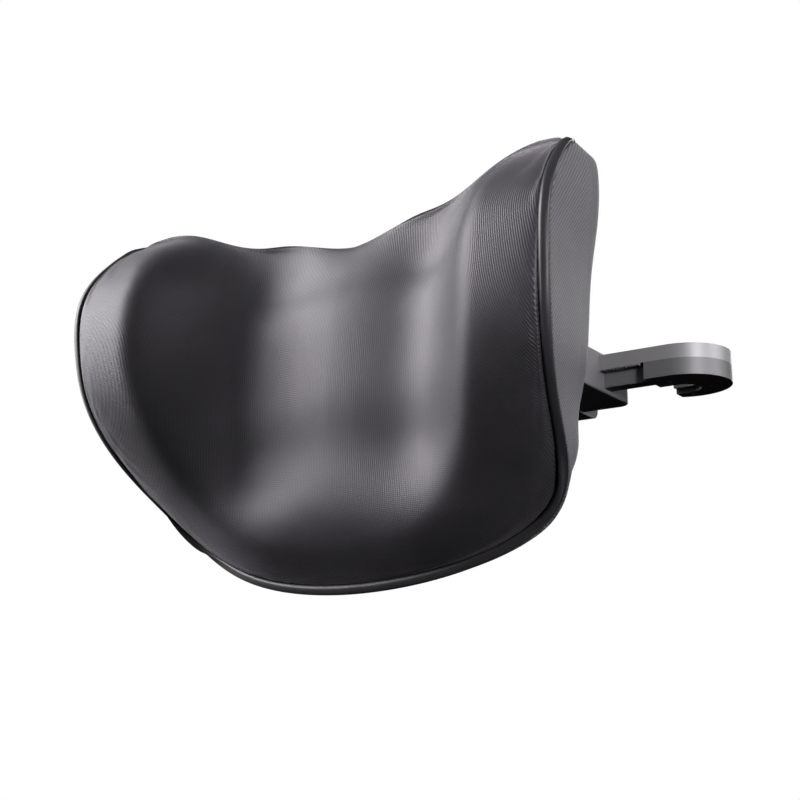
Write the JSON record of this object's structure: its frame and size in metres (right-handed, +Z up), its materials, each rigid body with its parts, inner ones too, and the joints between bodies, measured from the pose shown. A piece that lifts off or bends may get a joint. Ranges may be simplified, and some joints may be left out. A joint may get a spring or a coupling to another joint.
{
  "type": "chair headrest attachment",
  "caption": "Winged padded headrest on a tilting hinge and crossbar, with two sliding toothed arms whose lined hooks clamp round upright posts.",
  "frame": {"origin": "midway between the two post axes, on the parting plane of the arms", "axes": "+X to the right as seen by someone facing the cushion, +Y back towards the chair, +Z up along the posts"},
  "size_m": [0.344, 0.1589, 0.198],
  "materials": {
    "knit_fabric": "fine charcoal knit with a satin sheen",
    "foam": "moulded foam, covered all over",
    "inner_plastic": "moulded",
    "shell_plastic": "smooth satin moulding",
    "panel_weave": "fine twill texture",
    "satin_metal": "satin grey",
    "liner_rubber": "matt",
    "hinge_steel": "brushed",
    "fastener_steel": "fine machined"
  },
  "bodies": {
    "arm_left": {"arm_lower_left": "satin_metal", "arm_shoe_left": "inner_plastic", "arm_upper_left": "satin_metal", "hook_liner_left": "liner_rubber", "hook_screws_left": "fastener_steel"},
    "arm_right": {"arm_lower_right": "satin_metal", "arm_shoe_right": "inner_plastic", "arm_upper_right": "satin_metal", "hook_liner_right": "liner_rubber", "hook_screws_right": "fastener_steel"},
    "cushion": {"carrier_board": "inner_plastic", "foam_pad": "foam", "front_cover": "knit_fabric", "hinge_leaf": "hinge_steel", "hinge_leaf_screws": "hinge_steel", "rear_panel": "panel_weave", "rear_shell": "shell_plastic", "shell_screws": "fastener_steel"},
    "crossbar": {"hinge_bracket": "hinge_steel", "hinge_bracket_screws": "hinge_steel", "hinge_nuts": "fastener_steel", "hinge_pin": "fastener_steel", "hinge_washers": "inner_plastic", "housing_lower": "satin_metal", "housing_screws": "fastener_steel", "housing_upper": "satin_metal", "lever_pin_left": "fastener_steel", "lever_pin_right": "fastener_steel", "lever_spring_left": "fastener_steel", "lever_spring_right": "fastener_steel"},
    "lever_left": {"release_lever_left": "satin_metal"},
    "lever_right": {"release_lever_right": "satin_metal"}
  },
  "joints": [
    {"name": "arm_right_slide", "type": "slide", "parent": "crossbar", "child": "arm_right", "axis": [1, 0, 0], "range_m": [-0.0192, 0.0192]},
    {"name": "lever_right_press", "type": "hinge", "parent": "crossbar", "child": "lever_right", "pos_m": [0.083, -0.004, -0.0065], "axis": [1, 0, 0], "range_deg": [0, 5], "stiffness_Nm_per_rad": 0.6, "springref_deg": -11.46, "deforming": ["lever_spring_right"]},
    {"name": "arm_left_slide", "type": "slide", "parent": "crossbar", "child": "arm_left", "axis": [-1, 0, 0], "range_m": [-0.0192, 0.0192]},
    {"name": "lever_left_press", "type": "hinge", "parent": "crossbar", "child": "lever_left", "pos_m": [-0.083, -0.004, -0.0065], "axis": [1, 0, 0], "range_deg": [0, 5], "stiffness_Nm_per_rad": 0.6, "springref_deg": -11.46, "deforming": ["lever_spring_left"]},
    {"name": "cushion_tilt", "type": "hinge", "parent": "crossbar", "child": "cushion", "pos_m": [0, -0.0534, 0], "axis": [1, 0, 0], "range_deg": [-20, 20]}
  ]
}
